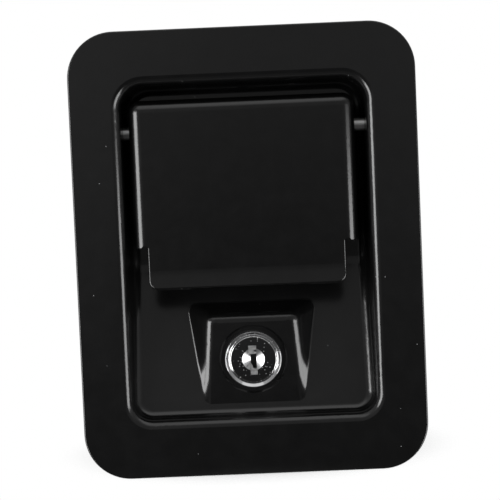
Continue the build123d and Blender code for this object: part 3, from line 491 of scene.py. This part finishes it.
def turned(profile, sides, reach=None):
    """A closed profile of (radius, depth) turned about the lock's axis. reach may change a radius."""
    points = []
    for r, y in profile:
        for j in range(sides):
            turn = FULL_TURN * j / sides
            out = reach(turn, r, y) if reach else r
            points.append((out * math.cos(turn), y, LOCK_Z + out * math.sin(turn)))
    faces = grid_faces(len(profile), sides)
    last = (len(profile) - 1) * sides
    faces += [(last + j, last + (j + 1) % sides, (j + 1) % sides, j) for j in range(sides)]
    return points, faces


def arc(centre, radius, start, stop, count):
    """Points of (radius, depth) along an arc, with angles in degrees."""
    points = []
    for i in range(count + 1):
        angle = math.radians(start + (stop - start) * i / count)
        points.append((centre[0] + radius * math.cos(angle), centre[1] + radius * math.sin(angle)))
    return points


def prism(outline, near, far):
    """A closed outline of (x, z) from the lock's axis, between two depths."""
    count = len(outline)
    points = [(x, near, LOCK_Z + z) for x, z in outline]
    points += [(x, far, LOCK_Z + z) for x, z in outline]
    faces = [tuple(range(count)), tuple(range(2 * count - 1, count - 1, -1))]
    faces += [(i, i + count, (i + 1) % count + count, (i + 1) % count) for i in range(count)]
    return points, faces


def thread(turn, y, pitch):
    """How deep the thread is there, from 0 at its crest to 1 at its root."""
    steepness = 1.6
    crest_width = 0.3
    phase = (y / pitch - turn / FULL_TURN) % 1.0
    return min(1.0, max(0.0, steepness * abs(2 * phase - 1) - crest_width))


def settle(made):
    """Applies a piece's modifiers to its mesh."""
    bpy.context.view_layer.update()
    shaped = bpy.data.meshes.new_from_object(made.evaluated_get(bpy.context.evaluated_depsgraph_get()))
    made.modifiers.clear()
    made.data = shaped
    return made


def cut(made, points, faces):
    """Takes a closed mesh away from a piece."""
    tool = mesh_object("cutter", points, faces)
    trim = made.modifiers.new("cut", "BOOLEAN")
    trim.operation = "DIFFERENCE"
    trim.solver = "EXACT"
    trim.object = tool
    settle(made)
    bpy.data.objects.remove(tool)
    return made


def soften(made, width, parts=2):
    """Rounds a piece's sharp edges."""
    edge = made.modifiers.new("edge", "BEVEL")
    edge.width = width * MM
    edge.segments = parts
    edge.limit_method = "ANGLE"
    return settle(made)


# Lock body
def lock_barrel():
    """Chromed bezel with a dished band, in front of a threaded barrel with two flats."""
    outer = 8.95
    recess = 7.42
    bore = 5.55
    front = BEZEL_FRONT_Y + 0.02
    band_in = 7.62
    band_out = 8.66
    edge = 0.10
    bead = 0.16
    slope = 36
    dish = (band_out - band_in) * math.tan(math.radians(slope))
    band_rows = 6
    crest = 7.95
    flat = 7.0
    pitch = 1.25
    depth = 0.42
    rows_per_turn = 6
    chamfer = 0.3
    rim_depth = 0.42
    back_step = 0.06
    back_edge = 0.08
    root_gap = 0.1
    wall_y = front + dish + 0.30
    bead_y = front + dish + 0.227
    recess_y = SEAT_Y - 0.9

    profile = [(recess, recess_y), (recess, wall_y)]
    profile += arc((recess + bead, bead_y), bead, 180, 270 - slope, 4)
    for i in range(1, band_rows + 1):
        share = i / band_rows
        profile.append((band_in + (band_out - band_in) * share, front + dish * (1 - share)))
    profile += arc((band_out + 0.08, front + edge), edge, -120, -20, 5)
    profile += [(outer, front + rim_depth), (outer, SEAT_Y - back_edge)]
    profile += [(outer - back_step, SEAT_Y), (crest + root_gap, SEAT_Y)]
    length = BARREL_END_Y - SEAT_Y
    rows = round(length / pitch * rows_per_turn)
    profile += [(crest, SEAT_Y + length * i / rows) for i in range(rows + 1)]
    profile += [(bore + chamfer, BARREL_END_Y), (bore, BARREL_END_Y - chamfer), (bore, recess_y)]

    def reach(turn, r, y):
        if r != crest:
            return r
        room = min(r - depth * thread(turn, y, pitch), r - 2 * chamfer + (BARREL_END_Y - y))
        return min(room, flat / max(abs(math.cos(turn)), 0.01))

    points, faces = turned(profile, sides=96, reach=reach)
    return piece("lock_barrel", points, faces, "frame", "chrome", ["lock_body"], sharp=38)


# Lock plug
def lock_plug_face():
    """The plug: a flat annulus round a turned cone, and the stepped key slot."""
    sharp = 20
    head = 7.32
    edge = 0.22
    shank = 5.48
    tip = 0.02
    cone_rows = 6
    cone_margin = 0.04
    face_middle = 5.4
    edge_margin = 0.05
    slot_start = FACE_Y - 1.0
    slot_end = 26.0
    steep = math.tan(math.radians(24))
    profile = [(tip, FACE_Y + CONE_R * steep)]
    for i in range(1, cone_rows + 1):
        share = i / cone_rows
        profile.append((CONE_R * share, FACE_Y + CONE_R * (1 - share) * steep))
    profile += [(r, FACE_Y) for r in (CONE_R + cone_margin, face_middle, head - edge - edge_margin)]
    profile += arc((head - edge, FACE_Y + edge), edge, -90, 0, 7)
    profile += [(head, PLUG_SEAT_Y), (shank, PLUG_SEAT_Y), (shank, DRIVE_START_Y), (tip, DRIVE_START_Y)]
    points, faces = turned(profile, sides=96)
    made = piece("plug_face", points, faces, "lock", "chrome_plug", ["lock_plug"], sharp=sharp)
    slot = [
        (SLOT_LEFT, SLOT_TOP), (SLOT_RIGHT, SLOT_TOP), (SLOT_RIGHT, FOOT_TOP), (FOOT_RIGHT, FOOT_TOP),
        (FOOT_RIGHT, FOOT_LOW), (FOOT_LEFT, FOOT_LOW), (FOOT_LEFT, FOOT_TOP), (WAIST_LEFT, FOOT_TOP),
        (WAIST_LEFT, WAIST_TOP), (SLOT_LEFT, WAIST_TOP),
    ]
    cut(made, *prism(slot, slot_start, slot_end))
    made.data.set_sharp_from_angle(angle=math.radians(sharp))
    return made


def square_drive():
    """The square end of the plug that carries the cam."""
    half = 3.5
    outline = [(-half, -half), (half, -half), (half, half), (-half, half)]
    points, faces = prism(outline, DRIVE_START_Y, DRIVE_END_Y)
    made = piece("square_drive", points, faces, "lock", "chrome_plug")
    return soften(made, width=0.35, parts=3)


def shutter():
    """Bright steps of the key slot, and a flap in the gap between them, painted near black as shade."""
    play = 0.03
    left = SLOT_LEFT + play
    right = SLOT_RIGHT - play
    top = SLOT_TOP - play
    ledge = WAIST_TOP + play
    waist = WAIST_LEFT + play
    shoulder = FOOT_TOP - 0.02
    foot_top = FOOT_TOP - 0.05
    foot_left = FOOT_LEFT + play
    foot_right = FOOT_RIGHT - play
    foot_low = FOOT_LOW + play
    upper = [
        (left, top), (right, top), (right, 2.95), (0.2, 2.85), (0.15, 2.5),
        (right, 2.35), (right, ledge), (-0.75, 1.62), (waist, ledge), (left, ledge),
    ]
    lower = [
        (waist, shoulder), (-0.75, -1.3), (-0.35, -2.1), (-0.15, -2.92), (right, shoulder),
        (foot_right, foot_top), (foot_right, foot_low), (foot_left, foot_low), (foot_left, foot_top),
    ]
    groove = [(-0.85, 3.9), (right, 3.9), (right, 3.72), (-0.85, 3.72)]
    groove_spacing = 7.4
    lower_groove = [(x, z - groove_spacing) for x, z in groove]
    groove_depth = 0.35
    flap = [(-0.88, 1.9), (0.98, 1.9), (0.98, -3.1), (-0.88, -3.1)]
    flap_y = 8.4
    flap_thickness = 0.4
    step_y = FACE_Y + 0.35
    step_end = 6.6
    points = []
    faces = []
    for outline in (upper, lower):
        more, sides = prism(outline, step_y, step_end)
        faces += [tuple(i + len(points) for i in face) for face in sides]
        points += more
    made = piece("key_slot_steps", points, faces, "lock", "bright_steel", ["dust_shutter"])
    for outline in (groove, lower_groove):
        cut(made, *prism(outline, FACE_Y, step_y + groove_depth))
    soften(made, width=0.15, parts=3)
    made.data.materials[0] = step_finish
    points, faces = prism(flap, flap_y, flap_y + flap_thickness)
    shut = piece("shutter_flap", points, faces, "lock", "bright_steel")
    soften(shut, width=0.05)
    # painted shade: the flap takes the near-black finish
    shut.data.materials[0] = flap_painted_shade
    return made


lock_barrel()
lock_plug_face()
square_drive()
shutter()


# Weld studs with their thread
def stud_row():
    """All four studs, each with a flared root, an M5 thread and a chamfered end."""
    crest = 2.48
    depth = 0.36
    pitch = 0.8
    plain_root = 1.4
    root_flare = 0.7
    root_height = 0.8
    chamfer = 0.6
    columns = 20
    rows_per_turn = 5
    rows = round(STUD_LENGTH / pitch * rows_per_turn)
    points = []
    faces = []
    for cx, cz in STUDS:
        start = len(points)
        for i in range(rows + 1):
            y = STUD_LENGTH * i / rows
            foot = root_flare * max(0.0, 1 - y / root_height) ** 2
            threaded = 1.0 if y > plain_root and i < rows else 0.0
            for j in range(columns):
                turn = FULL_TURN * j / columns
                r = crest + foot - depth * threaded * thread(turn, y, pitch)
                r = min(r, crest - chamfer + (STUD_LENGTH - y))
                points.append((cx + r * math.cos(turn), y, cz + r * math.sin(turn)))
        faces += grid_faces(rows + 1, columns, start)
        faces.append(tuple(range(start, start + columns)))
        last = start + rows * columns
        faces.append(tuple(range(last, last + columns)))
    return piece("threaded_studs", points, faces, "frame", "zinc_steel", ["mounting_studs"], sharp=40)


stud_row()


# Springs
def bolt_coil():
    """Compression spring with closed end turns."""
    wire = 0.4
    mean = 2.5
    turns = 8.0
    low = SHELF_Z + wire
    high = 27.2
    closing = 0.055
    steps_per_turn = 20
    steps = round(turns * steps_per_turn)
    path = []
    for i in range(steps + 1):
        share = i / steps
        turn = FULL_TURN * turns * share
        rise = share - closing * math.sin(FULL_TURN * share)
        path.append((mean * math.cos(turn), SPRING_Y + mean * math.sin(turn), low + (high - low) * rise))
    points, faces = tube(path, wire, sides=10)
    made = piece("bolt_coil", points, faces, "frame", "spring_steel", ["bolt_spring"], sharp=50)
    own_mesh(made)
    return made


def return_coil():
    """Torsion spring round the pin: one leg on the pan's floor, the other on the paddle's back."""
    wire = 0.65
    mean = 3.1
    leg = 14.0
    leg_steps = 6
    start = 4.4
    pitch = 1.5
    turns = 6.4007
    tilt = math.radians(17.88)
    steps_per_turn = 28
    steps = round(turns * steps_per_turn)
    nudge = 1e-5

    def coil(share):
        turn = tilt + FULL_TURN * turns * share
        x = start + pitch * turns * share
        return np.array((x, PIN_Y + mean * math.cos(turn), PIN_Z + mean * math.sin(turn)))

    def tangent(here, ahead):
        way = coil(ahead) - coil(here)
        return way / np.linalg.norm(way)

    middle = [coil(i / steps) for i in range(steps + 1)]
    first_way = tangent(0.0, nudge)
    last_way = tangent(1.0 - nudge, 1.0)
    first = [middle[0] - first_way * leg * i / leg_steps for i in range(leg_steps, 0, -1)]
    last = [middle[-1] + last_way * leg * i / leg_steps for i in range(1, leg_steps + 1)]
    points, faces = tube(first + middle + last, wire, sides=12)
    made = piece("return_coil", points, faces, None, "spring_steel", ["torsion_spring"], sharp=50)
    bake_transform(made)
    return made


bolt_coil()
return_coil()


# Foam gasket
def foam_gasket():
    """The gasket's solid, remeshed, softened along its edges and slightly uneven."""
    solid = nodes["flange_gasket"]
    data = solid.data.copy()
    data.transform(solid.matrix_world)
    made = bpy.data.objects.new("foam_ring", data)
    scene.collection.objects.link(made)
    cells = made.modifiers.new("cells", "REMESH")
    cells.mode = "VOXEL"
    cells.voxel_size = 0.5 * MM
    soft = made.modifiers.new("soft", "SMOOTH")
    soft.factor = 0.5
    soft.iterations = 3
    cloud = bpy.data.textures.new("foam cloud", "CLOUDS")
    cloud.noise_scale = 3.5 * MM
    lumps = made.modifiers.new("lumps", "DISPLACE")
    lumps.texture = cloud
    lumps.strength = 0.18 * MM
    lumps.mid_level = 0.6
    settle(made)
    made.data.materials.clear()
    made.data.materials.append(finish_of["foam_rubber"])
    made.data.shade_smooth()
    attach(made, "frame")
    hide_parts("flange_gasket")
    return made


foam_gasket()


# Camera
def add_camera():
    """A camera where the photograph's stood."""
    turn, lift, roll = (math.radians(angle) for angle in (0.6358, 3.589, 2.4528))
    target = Vector((0.4526, 0.0, 0.4344)) * MM
    distance = 550 * MM
    back = Vector(
        (math.sin(turn) * math.cos(lift), -math.cos(turn) * math.cos(lift), math.sin(lift))
    )
    level = Vector((math.cos(turn), math.sin(turn), 0.0))
    upright = back.cross(level)
    right = math.cos(roll) * level - math.sin(roll) * upright
    top = math.sin(roll) * level + math.cos(roll) * upright
    lens = bpy.data.cameras.new("photo camera")
    lens.lens = 126.78
    lens.sensor_width = 36.0
    lens.clip_start = 20 * MM
    lens.clip_end = 20.0
    made = bpy.data.objects.new("photo camera", lens)
    scene.collection.objects.link(made)
    facing = Matrix((right, top, back)).transposed().to_4x4()
    made.matrix_world = Matrix.Translation(target + back * distance) @ facing
    scene.camera = made


add_camera()


# Lamps
def add_lamp(name, place, wide, high, level):
    """A soft box that aims at the object and whose face shines with that radiance."""
    data = bpy.data.lights.new(name, "AREA")
    data.shape = "RECTANGLE"
    data.size = wide
    data.size_y = high
    data.energy = level * wide * high * math.pi
    made = bpy.data.objects.new(name, data)
    scene.collection.objects.link(made)
    made.location = place
    made.rotation_euler = (-Vector(place)).to_track_quat("-Z", "Y").to_euler()
    return made


add_lamp("left box", place=(-0.52, -0.44, -0.06), wide=0.36, high=0.56, level=6.0)
add_lamp("right box", place=(0.54, -0.42, -0.20), wide=0.42, high=0.44, level=4.8)
add_lamp("top box", place=(0.20, -0.22, 0.72), wide=1.60, high=0.50, level=0.42)


# Floor
def floor_paint(t, shader):
    """Pale floor round the object. Further out it thins away into the backdrop."""
    glow = 0.30
    where = t.at()
    apart = t.vector("LENGTH", {0: where}).outputs["Value"]
    grain = t.noise(where, scale=300.0, detail=3.0, rough=0.5)
    thinning = {"Value": apart, "From Min": 0.03, "From Max": 0.07, "To Min": 1.0, "To Max": 0.0}
    alpha = t.node("ShaderNodeMapRange", thinning, interpolation_type="SMOOTHSTEP").outputs["Result"]
    path = t.node("ShaderNodeLightPath").outputs
    seen = t.math("MAXIMUM", path["Is Camera Ray"], path["Is Transmission Ray"])
    feed(t, shader, Base_Color=t.mix(grain, grey(0.86), grey(0.90)), Roughness=0.9, Specular_IOR_Level=0.1)
    feed(t, shader, Alpha=alpha, Emission_Color=(1.0, 1.0, 1.0, 1.0))
    feed(t, shader, Emission_Strength=t.math("MULTIPLY", seen, glow))


def add_floor():
    """A disc just below the object, set a little behind it."""
    rings = [0.0, 0.02, 0.04, 0.06, 0.075]
    spokes = 64
    behind = 0.05
    gap = 0.2 * MM
    points = [(0.0, 0.0, 0.0)]
    for r in rings[1:]:
        for j in range(spokes):
            turn = FULL_TURN * j / spokes
            points.append((r * math.cos(turn), r * math.sin(turn), 0.0))
    faces = [(0, 1 + j, 1 + (j + 1) % spokes) for j in range(spokes)]
    faces += grid_faces(len(rings) - 1, spokes, start=1)
    data = bpy.data.meshes.new("floor")
    data.from_pydata(points, [], faces)
    made = bpy.data.objects.new("floor", data)
    scene.collection.objects.link(made)
    made.location = (0, behind, cad_box[0].z - gap)
    data.materials.append(material("floor white", floor_paint))


add_floor()


# World
def add_world():
    """A white studio, darker in front of the object and below it, where the camera stands."""
    ambient = 0.30
    wall_base = 0.01
    wall_level = 0.16
    wall_curve = 1.6
    edge_level = 0.03
    left_level = 0.05
    ceiling_level = 0.32
    ceiling_left = 0.55
    ground_level = 0.06
    side_level = 0.10
    world = bpy.data.worlds.new("studio")
    scene.world = world
    world.use_nodes = True
    t = Tree(world.node_tree)
    way = t.parts(t.node("ShaderNodeTexCoord").outputs["Generated"])
    aside = t.math("ABSOLUTE", way["X"])
    rise = t.span(way["Z"], -0.17, 0.05)
    wall = t.math("MULTIPLY_ADD", t.math("POWER", rise, wall_curve), wall_level, wall_base)
    edges = t.span(aside, 0.05, 0.11, 0.0, edge_level)
    left = t.span(way["X"], -0.12, -0.04, left_level, 0.0)
    wall = t.math("MULTIPLY_ADD", t.math("ADD", edges, left), t.span(rise, 0.0, 0.4), wall)
    ceiling = t.span(way["Z"], 0.50, 0.85, 0.0, ceiling_level)
    ceiling = t.math("MULTIPLY", ceiling, t.span(way["X"], -0.7, 0.2, ceiling_left, 1.0))
    ground = t.span(way["Z"], -0.85, -0.60, ground_level, 0.0)
    sides = t.span(aside, 0.35, 0.85, 0.0, side_level)
    front = wall
    for light in (ceiling, ground, sides):
        front = t.math("ADD", front, light)
    behind = t.span(way["Y"], -0.15, 0.25)
    path = t.node("ShaderNodeLightPath").outputs
    glossy = t.math("MULTIPLY", path["Is Glossy Ray"], t.math("MAXIMUM", front, behind))
    level = t.math("MULTIPLY", path["Is Diffuse Ray"], ambient)
    for light in (path["Is Camera Ray"], path["Is Transmission Ray"], glossy):
        level = t.math("MAXIMUM", level, light)
    back = world.node_tree.nodes["Background"]
    back.inputs["Color"].default_value = (1.0, 1.0, 1.0, 1.0)
    world.node_tree.links.new(level, back.inputs["Strength"])


add_world()
